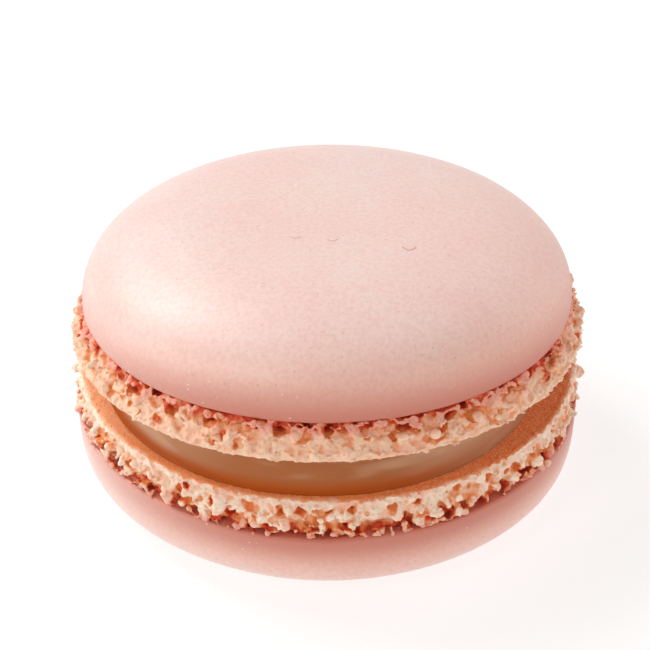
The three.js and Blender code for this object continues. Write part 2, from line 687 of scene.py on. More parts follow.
@dataclass(frozen=True)
class CrownFinish(Finish):
    """The smooth matte skin of a dome: pale pink, faintly mottled and finely specked, with painted shade
    that makes it redder on the right and darker towards its edge, most of all to the front and right.

    A range says where a smooth step starts and ends: a side in metres, a rise as a share of the dome's
    height, and a noise by its own value.
    """

    pale: Colour = (0.875, 0.69, 0.64)
    rosy: Colour = (0.885, 0.63, 0.585)
    peach: Colour = (0.88, 0.65, 0.57)
    # Painted shade towards the dome's edge.
    flank_shade: Colour = (0.87, 0.50, 0.40)
    # Painted shade on the dome's right side.
    ruddy_shade: Colour = (0.93, 0.50, 0.41)
    # Painted shade at the very edge of the dome, also the tint of a random fine grain.
    rim: Colour = (0.60, 0.19, 0.125)
    speck: Colour = (0.50, 0.25, 0.20)
    bloom: Colour = (0.95, 0.82, 0.76)
    rosy_scale: float = 90.0
    rosy_noise: Range = (0.35, 0.65)
    peach_scale: float = 230.0
    peach_noise: Range = (0.45, 0.7)
    peach_share: float = 0.5
    ruddy_shade_side: Range = (0.008, 0.019)
    ruddy_shade_share: float = 0.3
    shaded_side: Range = (-0.010, 0.022)
    least_shade: float = 0.5
    flank_shade_rise: Range = (0.95, 0.15)
    rim_shade_rise: Range = (0.46, 0.0)
    grainy_scale: float = 2600.0
    grainy_noise: Range = (0.35, 0.7)
    grainy_share: float = 0.16
    grain_scale: float = 3500.0
    grain_relief: float = 0.4
    grain_depth: float = 0.00005
    gloss: float = 0.7
    velvet: float = 0.2
    velvet_roughness: float = 0.5

    def build(self, groups: ShaderGroups) -> bpy.types.Material:
        """Builds the material.

        Args:
            groups: the shared shader groups.

        Returns:
            The finished material.
        """
        material, nodes, shader, place = self.start()
        tree = material.node_tree
        broad = nodes.step(nodes.noise(place, self.rosy_scale), *self.rosy_noise)
        colour = nodes.mix(broad, self.pale, self.rosy)
        warm = nodes.step(nodes.noise(place, self.peach_scale, detail=4.0), *self.peach_noise)
        colour = nodes.mix(nodes.math("MULTIPLY", warm, self.peach_share), colour, self.peach)
        rise = nodes.add("Attribute", attribute_name="rise").outputs["Fac"]
        across = nodes.add("SeparateXYZ", {"Vector": place})
        # Painted shade: the right side of the dome tinted redder.
        ruddy_shade = nodes.math("MULTIPLY", nodes.step(across.outputs["X"], *self.ruddy_shade_side), self.ruddy_shade_share)
        colour = nodes.mix(ruddy_shade, colour, self.ruddy_shade)
        # Painted shade: darker towards the dome's edge, most of all to the front and right, where less
        # light falls.
        towards = nodes.math("SUBTRACT", across.outputs["X"], across.outputs["Y"])
        turned = nodes.step(towards, *self.shaded_side)
        baked = nodes.math("MULTIPLY_ADD", turned, 1 - self.least_shade, self.least_shade)
        flank_shade = nodes.math("MULTIPLY", nodes.step(rise, *self.flank_shade_rise), baked)
        colour = nodes.mix(flank_shade, colour, self.flank_shade)
        rim = nodes.math("MULTIPLY", nodes.step(rise, *self.rim_shade_rise), baked)
        colour = nodes.mix(rim, colour, self.rim)
        # A random fine grain, tinted with the rim colour.
        fine = nodes.step(nodes.noise(place, self.grainy_scale, detail=3.0), *self.grainy_noise)
        grainy = nodes.math("MULTIPLY", fine, self.grainy_share)
        colour = nodes.mix(grainy, colour, self.rim)
        for density, size, share, strength, tint in (
            (1100.0, 0.10, 0.6, 0.35, self.speck),
            (2500.0, 0.20, 0.7, 0.16, self.speck),
            (1700.0, 0.15, 0.10, 0.4, self.bloom),
        ):
            specks = nodes.add(
                "Group", {"Place": place, "Density": density, "Size": size, "Share": share},
                node_tree=groups.specks,
            )
            mask = nodes.math("MULTIPLY", specks.outputs["Mask"], strength)
            colour = nodes.mix(mask, colour, tint)
        tree.links.new(colour, shader.inputs["Base Color"])
        grain = nodes.noise(place, self.grain_scale, detail=3.0)
        relief = {"Height": grain, "Strength": self.grain_relief, "Distance": self.grain_depth}
        bump = nodes.add("Bump", relief)
        tree.links.new(bump.outputs["Normal"], shader.inputs["Normal"])
        shader.inputs["Specular IOR Level"].default_value = self.gloss
        shader.inputs["Sheen Weight"].default_value = self.velvet
        shader.inputs["Sheen Roughness"].default_value = self.velvet_roughness
        return material


@dataclass(frozen=True)
class FootFinish(Finish):
    """The crumb of a foot: creamy where it stands out, with painted shade in its hollows and pores, orange
    and then red, reddest under the dome's rim; its flat underside is paler on the left as painted light and
    darker on the right as painted shade.

    A range says where a smooth step starts and ends: a side and the top of the lower foot in metres, the
    edge of the face in millimetres in from the lip, a depth by how walled in a spot is, and a noise by its
    own value.
    """

    cream: Colour = (0.95, 0.64, 0.45)
    light: Colour = (0.98, 0.78, 0.61)
    blush: Colour = (0.93, 0.50, 0.34)
    # Painted shade in the hollows: this colour, then orange, then red, by how walled in a spot is; orange
    # also in the pores.
    peach: Colour = (0.95, 0.47, 0.25)
    orange: Colour = (0.91, 0.33, 0.10)
    red: Colour = (0.84, 0.12, 0.045)
    pink: Colour = (0.88, 0.37, 0.28)
    face: Colour = (0.91, 0.31, 0.095)
    # Painted shade: the underside face darker on the right. The next colour is painted light, paler on the
    # far left.
    shaded_face: Colour = (0.76, 0.20, 0.04)
    lit_face: Colour = (0.95, 0.43, 0.20)
    sand: Colour = (0.97, 0.60, 0.35)
    speck: Colour = (0.50, 0.24, 0.12)
    uneven_scale: float = 900.0
    unevenness: float = 0.3
    lower_foot: Range = (0.0128, 0.0118)
    blush_scale: float = 600.0
    blush_noise: Range = (0.42, 0.66)
    blush_share: float = 0.75
    pink_flush: Range = (0.0, 1.2)
    pink_raggedness: float = 5.0
    pink_over_peach: float = 0.7
    under_rim_shade: float = 0.4
    deepening_start: float = 0.14
    depth_raggedness: float = 0.5
    peach_shade_depth: Range = (0.17, 0.38)
    orange_shade_depth: Range = (0.33, 0.56)
    red_shade_depth: Range = (0.56, 0.80)
    lit_face_side: Range = (-0.0185, -0.0155)
    shaded_face_side: Range = (-0.008, 0.018)
    face_edge: Range = (-0.6, 0.7)
    patch_scale: float = 700.0
    face_patches: float = 2.4
    sandy_scale: float = 9000.0
    sandy_noise: Range = (0.48, 0.68)
    sandy_share: float = 0.7
    speck_share: float = 0.45
    pore_shade_share: float = 0.32
    grain_relief: float = 0.8
    grain_depth: float = 0.00012

    def build(self, groups: ShaderGroups) -> bpy.types.Material:
        """Builds the material.

        Args:
            groups: the shared shader groups.

        Returns:
            The finished material.
        """
        material, nodes, shader, place = self.start()
        tree = material.node_tree
        hollow = nodes.add("Attribute", attribute_name="hollow").outputs["Fac"]
        flush = nodes.add("Attribute", attribute_name="flush").outputs["Fac"]
        inward = nodes.add("Attribute", attribute_name="inward").outputs["Fac"]
        uneven = self.centred(nodes, nodes.noise(place, self.uneven_scale, detail=3.0), self.unevenness)
        ragged = nodes.math("MULTIPLY_ADD", uneven, self.pink_raggedness, flush)
        near_crown = nodes.step(ragged, *self.pink_flush)
        blushing = nodes.step(nodes.noise(place, self.blush_scale), *self.blush_noise)
        flushed = nodes.math("MULTIPLY", blushing, self.blush_share)
        axes = nodes.add("SeparateXYZ", {"Vector": place}).outputs
        plain = nodes.mix(nodes.step(axes["Z"], *self.lower_foot), self.cream, self.light)
        colour = nodes.mix(near_crown, nodes.mix(flushed, plain, self.blush), self.pink)
        # Painted shade: the more walled in a spot is, the more it turns peach, orange and then red, redder
        # still under the dome's rim.
        level = nodes.math("ADD", hollow, nodes.math("MULTIPLY", uneven, self.depth_raggedness))
        warmth = nodes.math("SUBTRACT", 1.0, nodes.math("MULTIPLY", near_crown, self.pink_over_peach))
        peach_share = nodes.math("MULTIPLY", nodes.step(level, *self.peach_shade_depth), warmth)
        colour = nodes.mix(peach_share, colour, self.peach)
        colour = nodes.mix(nodes.step(level, *self.orange_shade_depth), colour, self.orange)
        deeper = nodes.math("MULTIPLY_ADD", near_crown, self.under_rim_shade, -self.deepening_start)
        deep = nodes.math("ADD", level, deeper)
        colour = nodes.mix(nodes.step(deep, *self.red_shade_depth), colour, self.red)
        patchy = self.centred(nodes, nodes.noise(place, self.patch_scale, detail=5.0), self.face_patches)
        sandy = nodes.step(nodes.noise(place, self.sandy_scale), *self.sandy_noise)
        # Painted light on the far left of the underside face, painted shade on its right.
        plain_face = nodes.mix(nodes.step(axes["X"], *self.lit_face_side), self.lit_face, self.face)
        shaded_face = nodes.mix(nodes.step(axes["X"], *self.shaded_face_side), plain_face, self.shaded_face)
        face = nodes.mix(nodes.math("MULTIPLY", sandy, self.sandy_share), shaded_face, self.sand)
        on_face = nodes.step(nodes.math("ADD", inward, patchy), *self.face_edge)
        colour = nodes.mix(on_face, colour, face)
        specks = nodes.add(
            "Group", {"Place": place, "Density": 2600.0, "Size": 0.14, "Share": 0.6},
            node_tree=groups.specks,
        )
        speckled = nodes.math("MULTIPLY", specks.outputs["Mask"], self.speck_share)
        colour = nodes.mix(speckled, colour, self.speck)
        crumb = nodes.add("Group", node_tree=groups.crumb)
        tree.links.new(place, crumb.inputs["Place"])
        # Painted shade in the pores, tinted orange.
        pores = nodes.math("MULTIPLY", crumb.outputs["Pore"], self.pore_shade_share)
        colour = nodes.mix(pores, colour, self.orange)
        tree.links.new(colour, shader.inputs["Base Color"])
        height = crumb.outputs["Height"]
        relief = {"Height": height, "Strength": self.grain_relief, "Distance": self.grain_depth}
        bump = nodes.add("Bump", relief)
        tree.links.new(bump.outputs["Normal"], shader.inputs["Normal"])
        return material

    @staticmethod
    def centred(nodes: Nodes, share: bpy.types.NodeSocket, spread: float) -> bpy.types.NodeSocket:
        """Spreads a share from 0 to 1 evenly about 0."""
        return nodes.math("MULTIPLY_ADD", share, spread, -spread / 2)


@dataclass(frozen=True)
class ThreadFinish(Finish):
    """The plain brownish pink of a thread of crust."""

    tint: Colour = (0.62, 0.30, 0.25)

    def build(self, groups: ShaderGroups) -> bpy.types.Material:
        """Builds the material.

        Args:
            groups: the shared shader groups, of which it needs none.

        Returns:
            The finished material.
        """
        material, _, shader, _ = self.start()
        shader.inputs["Base Color"].default_value = (*self.tint, 1.0)
        return material


@dataclass(frozen=True)
class CreamFinish(Finish):
    """The smooth satin wall of the cream: a dark caramel, partly its own colour and partly painted shade
    under the upper shell, paler in random streaks, with painted light on the left, a painted sheen on the
    right and painted shade as a deep orange band at its foot.

    A range says where a smooth step starts and ends: a side in metres, a rise as a share of the cream's
    height, and a noise by its own value.
    """

    # The dark caramel is partly the cream's own colour and partly painted shade under the upper shell; the
    # pale colour gives both random streaks and painted light.
    caramel: Colour = (0.41, 0.135, 0.038)
    pale: Colour = (0.58, 0.335, 0.20)
    # Painted shade at the foot of the cream.
    amber_shade: Colour = (0.46, 0.09, 0.001)
    right_sheen_side: Range = (0.004, 0.011)
    right_sheen_share: float = 0.85
    left_lit_side: Range = (-0.006, -0.014)
    left_lit_share: float = 0.6
    smear_stretch: tuple[float, float, float] = (1.0, 1.0, 4.0)
    smear_scale: float = 120.0
    smear_noise: Range = (0.45, 0.7)
    smear_share: float = 0.75
    amber_shade_rise: Range = (0.34, 0.08)
    amber_fade: Range = (0.005, 0.015)
    amber_loss: float = 0.8
    gloss: float = 0.2
    ripple_scale: float = 700.0
    ripple_relief: float = 0.15
    ripple_depth: float = 0.0001

    def build(self, groups: ShaderGroups) -> bpy.types.Material:
        """Builds the material.

        Args:
            groups: the shared shader groups.

        Returns:
            The finished material.
        """
        material, nodes, shader, place = self.start()
        tree = material.node_tree
        rise = nodes.add("Attribute", attribute_name="rise").outputs["Fac"]
        smear = nodes.add("Mapping", {"Vector": place, "Scale": self.smear_stretch}).outputs["Vector"]
        across = nodes.add("SeparateXYZ", {"Vector": place}).outputs["X"]
        # Painted light: paler on the left, and a painted sheen, paler, on the right.
        right = nodes.math("MULTIPLY", nodes.step(across, *self.right_sheen_side), self.right_sheen_share)
        left = nodes.math("MULTIPLY", nodes.step(across, *self.left_lit_side), self.left_lit_share)
        lit_sides = nodes.math("ADD", left, right)
        streaks = nodes.step(nodes.noise(smear, self.smear_scale), *self.smear_noise)
        smeared = nodes.math("ADD", streaks, lit_sides)
        colour = nodes.mix(nodes.math("MULTIPLY", smeared, self.smear_share), self.caramel, self.pale)
        # Painted shade: a deep orange band at the foot of the cream, fading to the right.
        thinning = nodes.math("MULTIPLY_ADD", nodes.step(across, *self.amber_fade), -self.amber_loss, 1.0)
        foot = nodes.math("MULTIPLY", nodes.step(rise, *self.amber_shade_rise), thinning)
        colour = nodes.mix(foot, colour, self.amber_shade)
        tree.links.new(colour, shader.inputs["Base Color"])
        shader.inputs["Specular IOR Level"].default_value = self.gloss
        height = nodes.noise(smear, self.ripple_scale)
        relief = {"Height": height, "Strength": self.ripple_relief, "Distance": self.ripple_depth}
        bump = nodes.add("Bump", relief)
        tree.links.new(bump.outputs["Normal"], shader.inputs["Normal"])
        return material


# ---------------------------------------------------------------- the shells


@dataclass
class Crown:
    """The smooth dome of a shell, with its skin rolled under at the rim."""

    name: str
    form: ShellForm
    seed: int
    segments: int = 300
    rows: int = 84
    rim_roll: float = 0.32
    rim_tuck: float = 1.5
    rim_rows: int = 6
    underside_share: float = 0.4
    rim_band: float = 2.5
    wobble: float = 0.14
    wobble_width: float = 4.5
    swell: float = 0.10
    swell_width: float = 14.0
    grain: float = 0.012
    grain_width: float = 1.6

    def section(self) -> Section:
        """Draws the outline from the top of the dome to the middle of its hidden underside.

        Returns:
            The outline, in the shell's own frame.
        """
        form = self.form
        outline: Section = [(0.0, form.crown_level(0.0))]
        for row in range(1, self.rows + 1):
            turn = math.pi / 2 * row / self.rows
            radius = form.crown_radius * math.sin(turn)
            outline.append((radius, form.crown_level(radius)))
        for row in range(1, self.rim_rows + 1):
            turn = math.pi / 2 * row / self.rim_rows
            radius = form.crown_radius - self.rim_roll * (1 - math.cos(turn))
            outline.append((radius, form.foot_height - self.rim_roll * math.sin(turn)))
        tucked = form.crown_radius - self.rim_tuck
        underside = form.foot_height - self.rim_roll * self.underside_share
        return outline + [(tucked, underside), (0.0, underside)]

    def build(self) -> bpy.types.Object:
        """Builds the mesh in the shell's own frame, uneven as a piped shell is.

        Returns:
            The finished dome.
        """
        piece = as_object(spun(self.section(), self.segments), self.name)
        mesh = piece.data
        points = coordinates(mesh)
        facing = normals(mesh)
        offset = Vector((self.seed, 2.0 * self.seed, 0.5))
        broad = noise_at(points, self.swell_width, offset)
        fine = noise_at(points, self.grain_width, offset)
        points += facing * (self.swell * broad + self.grain * fine)[:, None]
        rim = smooth_ramp(points[:, 2], self.form.foot_height + self.rim_band, self.form.foot_height)
        ring = points * np.array([1.0, 1.0, 0.0])
        points[:, 2] += self.wobble * rim * noise_at(ring, self.wobble_width, offset)
        set_coordinates(mesh, points)
        set_attribute(mesh, "rise", (points[:, 2] - self.form.foot_height) / self.form.crown_height)
        return piece


@dataclass(frozen=True)
class Lump:
    """One kind of lump on a foot.

    A size is the half width of a lump in millimetres, a height is a share of the foot's, and girth and
    tallness are shares of the size.
    """

    count: int
    size: Range
    height: Range
    sunk_share: float
    sunk: Range
    drawn_in: float
    girth: Range
    tallness: Range
    roll: float


@dataclass(frozen=True)
class Crumb:
    """One kind of small crumb: its half width and how deep it is sunk in millimetres, and its girth."""

    count: int
    size: Range
    sunk: Range
    girth: Range


@dataclass(frozen=True)
class Hole:
    """One kind of gas hole: the share of the foot's height it lies at, and how deep it starts."""

    count: int
    height: Range
    sunk: Range
    roll: float


@dataclass(frozen=True)
class Relief:
    """How the skin of a foot is roughened by lumps, knobs on them and a fine grain.

    Sizes and heights are in millimetres. Where the lumps start and fade is a share of the foot's height.
    """

    lump_size: float = 1.15
    lump_height: float = 0.62
    lump_middle: float = 0.4
    lump_start: Range = (0.06, 0.28)
    lump_fade: Range = (0.8, 1.0)
    lump_loss: float = 0.6
    knob_size: float = 0.5
    knob_height: float = 0.3
    knob_middle: float = 0.5
    grain_size: float = 0.3
    grain_height: float = 0.045
    wall_start: Range = (0.02, 0.3)
    face_from: float = 18.5
    face_to_lip: float = 0.5
    face_share: float = 0.4
    hidden_depth: float = 2.0
    underside_depth: float = 0.2
    lip_band: Range = (0.9, 0.3)
    underside_slack: float = 0.05
    lip_slack: float = 1.2


@dataclass
class Foot:
    """The ruffled foot of a shell: risen crumb with lumps, gas holes and a crinkled lip."""

    name: str
    form: ShellForm
    seed: int
    segments: int = 200
    base_inner: float = 16.8
    base_thickness: float = 1.0
    lip_width: float = 1.0
    wall: float = 2.3
    wall_rows: int = 12
    lip_rounding: tuple[Range, ...] = ((0.55, 0.7), (0.3, 0.6))
    top_overlap: float = 0.25
    shoulder: float = 1.0
    matrix_inset: float = 0.5
    groove: float = 1.0
    groove_from: float = 0.35
    groove_over: float = 0.45
    voxel: float = 0.125
    gas_voxel: float = 0.1
    lumps: tuple[Lump, ...] = (
        Lump(36, (0.4, 0.75), (0.2, 0.42), 0.8, (-0.2, 0.2), 0.2, (0.85, 1.2), (0.8, 1.1), 0.6),
        Lump(46, (0.4, 0.75), (0.45, 0.62), 0.8, (-0.2, 0.2), 0.2, (0.85, 1.2), (0.8, 1.1), 0.6),
        Lump(36, (0.4, 0.75), (0.62, 0.78), 0.8, (-0.2, 0.2), 0.2, (0.85, 1.2), (0.8, 1.1), 0.6),
        Lump(300, (0.17, 0.34), (0.12, 0.92), 0.5, (0.05, 0.55), 0.4, (0.8, 1.3), (0.75, 1.1), 0.8),
    )
    lip_crumb: Crumb = Crumb(900, (0.13, 0.22), (-0.05, 0.3), (0.8, 1.6))
    lip_drop: float = 0.8
    lip_climb: float = 0.5
    groove_crumb: Crumb = Crumb(420, (0.18, 0.34), (0.4, 1.4), (0.8, 1.4))
    groove_height: Range = (0.76, 1.0)
    skin_crumb: Crumb = Crumb(520, (0.14, 0.30), (-0.1, 0.35), (0.8, 1.6))
    skin_reach: float = 1.3
    skin_from: float = 0.8
    skin_to: float = 0.93
    bare_usual: float = 0.25
    bare_swing: float = 0.9
    bare_most: float = 0.9
    bare_run: float = 6.0
    cave: Hole = Hole(40, (0.6, 0.85), (0.4, 0.8), 0.5)
    cave_depth: Range = (1.5, 2.0)
    cave_width: Range = (0.35, 0.8)
    cave_tallness: Range = (0.3, 0.6)
    pit: Hole = Hole(320, (0.14, 0.7), (0.3, 0.6), 1.0)
    small_pit: Range = (0.14, 0.22)
    large_pit: Range = (0.22, 0.4)
    small_pit_share: float = 0.7
    pit_depth: float = 2.0
    pit_tallness: Range = (0.7, 1.1)
    relief: Relief = Relief()
    relax_before: float = 0.3
    relax_after: float = 0.2
    lip_hang: float = 0.1
    shade_reach: float = 1.4
    shade_rays: int = 12
    flush_from: float = 0.6
    flush_over: float = 0.3
    underside_level: float = 0.15
    underside_tilt: float = -0.6
    off_underside: float = -1.3
    most_triangles: int = 192_000
    rng: random.Random = field(init=False)

    def __post_init__(self) -> None:
        """Seeds the foot's own randomness."""
        self.rng = random.Random(self.seed)

    def on_wall(self, angle: float, up: float, sunk: float) -> Vector:
        """Finds a point near the foot's wall.

        Args:
            angle: where it is round the foot.
            up: its share of the foot's height.
            sunk: how far it lies below the foot's outer reach, in millimetres.

        Returns:
            The point, in the shell's own frame.
        """
        radius = self.form.foot_reach(up) - sunk
        return Vector((radius * math.cos(angle), radius * math.sin(angle), up * self.form.foot_height))

    def core(self) -> bmesh.types.BMesh:
        """Builds the plain ring under the crumb, with the thin base that the cream lies against.

        Returns:
            A new bmesh.
        """
        form = self.form
        outline: Section = [(self.base_inner, 0.0), (form.lip_radius - self.lip_width, 0.0)]
        for inset, hang in self.lip_rounding:
            outline.append((form.lip_radius - inset, -hang * self.lip_hang))
        for row in range(1, self.wall_rows + 1):
            up = row / self.wall_rows
            groove = min(max((up - self.groove_from) / self.groove_over, 0.0), 1.0)
            inset = self.matrix_inset + self.groove * groove * groove * (3 - 2 * groove)
            outline.append((form.foot_reach(up) - inset, up * form.foot_height))
        top = form.foot_height + self.top_overlap
        outline.append((form.crown_radius - self.shoulder, top))
        outline.append((form.crown_radius - self.wall, top))
        outline.append((form.crown_radius - self.wall, self.base_thickness))
        outline.append((self.base_inner, self.base_thickness))
        return spun(outline, self.segments)

    def angles(self, count: int) -> list[float]:
        """Angles round the foot, evenly spread but never regular."""
        step = 2 * math.pi / count
        return [step * (i + self.rng.uniform(0, 1)) for i in range(count)]

    def add_lumps(self, blobs: Blobs, kind: Lump) -> None:
        """Presses every lump of one kind on the wall.

        Args:
            blobs: the gathering that takes them.
            kind: what they are like.
        """
        rng = self.rng
        for angle in self.angles(kind.count):
            size = rng.uniform(*kind.size)
            up = rng.uniform(*kind.height)
            stretch = (size, size * rng.uniform(*kind.girth), size * rng.uniform(*kind.tallness))
            sunk = size * kind.sunk_share + rng.uniform(*kind.sunk) + kind.drawn_in * up * up
            blobs.add(self.on_wall(angle, up, sunk), angle, stretch, rng.uniform(-kind.roll, kind.roll))

    def dough(self) -> bpy.types.Object:
        """Builds the core with its lumps, from popcorn-sized blobs down to fine crumbs.

        Returns:
            An object of overlapping meshes.
        """
        rng = self.rng
        blobs = Blobs(2)
        for kind in self.lumps:
            self.add_lumps(blobs, kind)
        bm = self.core()
        blobs.into(bm)
        grains = Blobs(1)
        lip = self.lip_crumb
        for angle in self.angles(lip.count):
            size = rng.uniform(*lip.size)
            level = rng.uniform(-self.lip_drop * self.lip_hang, self.lip_climb) + size
            centre = self.on_wall(angle, level / self.form.foot_height, size + rng.uniform(*lip.sunk))
            grains.add(centre, angle, (size, size * rng.uniform(*lip.girth), size))
        groove = self.groove_crumb
        for angle in self.angles(groove.count):
            size = rng.uniform(*groove.size)
            centre = self.on_wall(angle, rng.uniform(*self.groove_height), rng.uniform(*groove.sunk))
            grains.add(centre, angle, (size, size * rng.uniform(*groove.girth), size))
        grains.into(bm)
        return as_object(bm, self.name)

    def torn_skin(self) -> bpy.types.Object:
        """Builds the crumbs that hang under the rim of the dome, left whole when the gas holes are cut.

        Returns:
            An object of overlapping meshes.
        """
        rng = self.rng
        kind = self.skin_crumb
        grains = Blobs(2)
        for angle in self.angles(kind.count):
            if rng.random() < self.bare_share(angle):
                continue
            size = rng.uniform(*kind.size)
            sunk = size * self.skin_reach + rng.uniform(*kind.sunk)
            centre = self.on_wall(angle, rng.uniform(self.skin_from, self.skin_to), sunk)
            grains.add(centre, angle, (size * self.skin_reach, size * rng.uniform(*kind.girth), size))
        return grains.as_object("torn skin")

    def bare_share(self, angle: float) -> float:
        """How often the rim carries no crumb at an angle, from 0 to 1: it comes in runs."""
        place = Vector((math.cos(angle), math.sin(angle), 0.1 * self.seed)) * self.bare_run
        return min(max(self.bare_usual + self.bare_swing * noise.noise(place), 0.0), self.bare_most)

    def gas(self) -> bpy.types.Object:
        """Builds the holes that gas left: large caves under the dome's rim and small pits below them.

        Returns:
            An object of overlapping meshes.
        """
        rng = self.rng
        blobs = Blobs(2)
        cave, pit = self.cave, self.pit
        for angle in self.angles(cave.count):
            wide = rng.uniform(*self.cave_width)
            high = rng.uniform(*self.cave_tallness)
            centre = self.on_wall(angle, rng.uniform(*cave.height), rng.uniform(*cave.sunk))
            size = (rng.uniform(*self.cave_depth), wide, high)
            blobs.add(centre, angle, size, rng.uniform(-cave.roll, cave.roll))
        for angle in self.angles(pit.count):
            size = rng.uniform(*(self.small_pit if rng.random() < self.small_pit_share else self.large_pit))
            centre = self.on_wall(angle, rng.uniform(*pit.height), rng.uniform(*pit.sunk))
            lengths = (size * self.pit_depth, size, size * rng.uniform(*self.pit_tallness))
            blobs.add(centre, angle, lengths, rng.uniform(-pit.roll, pit.roll))
        return blobs.as_object("gas")

    def roughen(self, mesh: bpy.types.Mesh) -> None:
        """Swells the crumb into lumps and smaller knobs where it shows, and keeps the underside level.

        Args:
            mesh: the foot's mesh, in the shell's own frame.
        """
        relief, form = self.relief, self.form
        points = coordinates(mesh)
        radius = np.hypot(points[:, 0], points[:, 1])
        near_wall = radius > form.crown_radius - relief.hidden_depth
        shown = np.nonzero(near_wall | (points[:, 2] < relief.underside_depth))[0]
        spots = points[shown]
        up = spots[:, 2] / form.foot_height
        offset = Vector((3.0 * self.seed, 1.0, 0.0))
        on_wall = smooth_ramp(spots[:, 2], *relief.wall_start)
        lumpy = smooth_ramp(up, *relief.lump_start)
        lumpy = lumpy * (1 - relief.lump_loss * smooth_ramp(up, *relief.lump_fade))
        lumps = knobs_at(spots, relief.lump_size, offset) - relief.lump_middle
        rough = relief.lump_height * lumpy * lumps
        on_face = smooth_ramp(radius[shown], relief.face_from, form.lip_radius - relief.face_to_lip)
        grainy = relief.face_share * on_face + (1 - relief.face_share * on_face) * on_wall
        knobs = knobs_at(spots, relief.knob_size, offset) - relief.knob_middle
        rough += relief.knob_height * grainy * knobs
        rough += relief.grain_height * noise_at(spots, relief.grain_size, offset)
        points[shown] += normals(mesh)[shown] * rough[:, None]
        lip_start, lip_end = relief.lip_band
        lip = smooth_ramp(radius, form.lip_radius - lip_start, form.lip_radius - lip_end)
        lowest = -relief.underside_slack - self.lip_hang * relief.lip_slack * lip
        points[:, 2] = np.maximum(points[:, 2], lowest)
        set_coordinates(mesh, points)

    def thin(self, piece: bpy.types.Object) -> None:
        """Merges the flattest faces until few enough triangles are left.

        Args:
            piece: the foot.
        """
        triangles = sum(len(face.vertices) - 2 for face in piece.data.polygons)
        if triangles <= self.most_triangles:
            return
        shrink = piece.modifiers.new("thin", "DECIMATE")
        shrink.ratio = self.most_triangles / triangles
        shrink.use_collapse_triangulate = True
        apply_modifiers(piece)

    def build(self, crown: bpy.types.Object) -> bpy.types.Object:
        """Builds the crumb in the shell's own frame, roughens it and marks its hollows.

        Args:
            crown: the dome above the foot, which shades the hollows under its rim.

        Returns:
            The finished foot.
        """
        piece = self.dough()
        voxel_melt(piece, self.voxel)
        gas = self.gas()
        voxel_melt(gas, self.gas_voxel)
        carve(piece, gas)
        absorb(piece, self.torn_skin())
        voxel_melt(piece, self.voxel)
        keep_largest(piece.data)
        relax(piece.data, self.relax_before, 1)
        self.roughen(piece.data)
        relax(piece.data, self.relax_after, 1)
        self.thin(piece)
        self.mark(piece.data, crown)
        return piece

    def mark(self, mesh: bpy.types.Mesh, crown: bpy.types.Object) -> None:
        """Stores at each vertex how hollow the foot is, how near the dome and how far in from the lip.

        Args:
            mesh: the foot's finished mesh, in the shell's own frame.
            crown: the dome above the foot.
        """
        points = coordinates(mesh)
        radius = np.hypot(points[:, 0], points[:, 1])
        under = (points[:, 2] < self.underside_level) & (normals(mesh)[:, 2] < self.underside_tilt)
        # How walled in each spot is, which the finish paints as shade.
        hollow = hollowness(mesh, crown.data, reach=self.shade_reach, rays=self.shade_rays, seed=self.seed)
        set_attribute(mesh, "hollow", hollow)
        # How near the dome a spot is, for the pink crumb there and the redder painted shade under the rim.
        up = points[:, 2] / self.form.foot_height
        set_attribute(mesh, "flush", np.clip((up - self.flush_from) / self.flush_over, -1.0, 1.0))
        set_attribute(mesh, "inward", np.where(under, self.form.lip_radius - radius, self.off_underside))


@dataclass
class Cream:
    """The disc of cream, pressed out a little unevenly between the two shells."""

    name: str
    lower: Seat
    upper: Seat
    radius: float = 19.7
    hidden_share: float = 0.8
    wall_share: float = 0.95
    waist: float = 0.35
    skirt: float = 0.1
    skirt_height: float = 0.12
    offset_x: float = -0.5
    offset_y: float = -2.3
    rows: int = 24
    row_crowding: float = 1.5
    segments: int = 320
    seed: int = 5
    swell: float = 0.1
    swell_width: float = 9.0
    ripple: float = 0.03
    ripple_width: float = 1.8
    flattening: float = 3.0

    def build(self) -> bpy.types.Object:
        """Builds the disc and lets its top follow the shell above it.

        Returns:
            The finished disc.
        """
        hidden = self.radius * self.hidden_share
        outline: Section = [(0.0, 0.0), (hidden, 0.0)]
        for row in range(self.rows + 1):
            up = (row / self.rows) ** self.row_crowding
            flare = self.skirt * max(1 - up / self.skirt_height, 0.0) ** 2
            outline.append((self.radius - self.waist * math.sin(math.pi * up) + flare, up))
        outline += [(hidden, 1.0), (0.0, 1.0)]
        piece = as_object(spun(outline, self.segments), self.name)
        mesh = piece.data
        points = coordinates(mesh)
        rise = points[:, 2].copy()
        radius = np.hypot(points[:, 0], points[:, 1])
        wall = smooth_ramp(radius, hidden, self.radius * self.wall_share)
        ring = np.stack([points[:, 0], points[:, 1], points[:, 2] * self.flattening], axis=1)
        swell = self.swell * noise_at(ring, self.swell_width, Vector((self.seed, 0, 0)))
        swell += self.ripple * noise_at(ring, self.ripple_width, Vector((0, self.seed, 0)))
        points[:, :2] *= (1 + wall * swell / np.maximum(radius, 1.0))[:, None]
        points[:, 0] += self.offset_x
        points[:, 1] += self.offset_y
        top = self.upper.underside + self.upper.underside_lean.lift(points)
        points[:, 2] = self.lower.underside + (top - self.lower.underside) * rise
        set_coordinates(mesh, points)
        set_attribute(mesh, "rise", rise)
        return piece


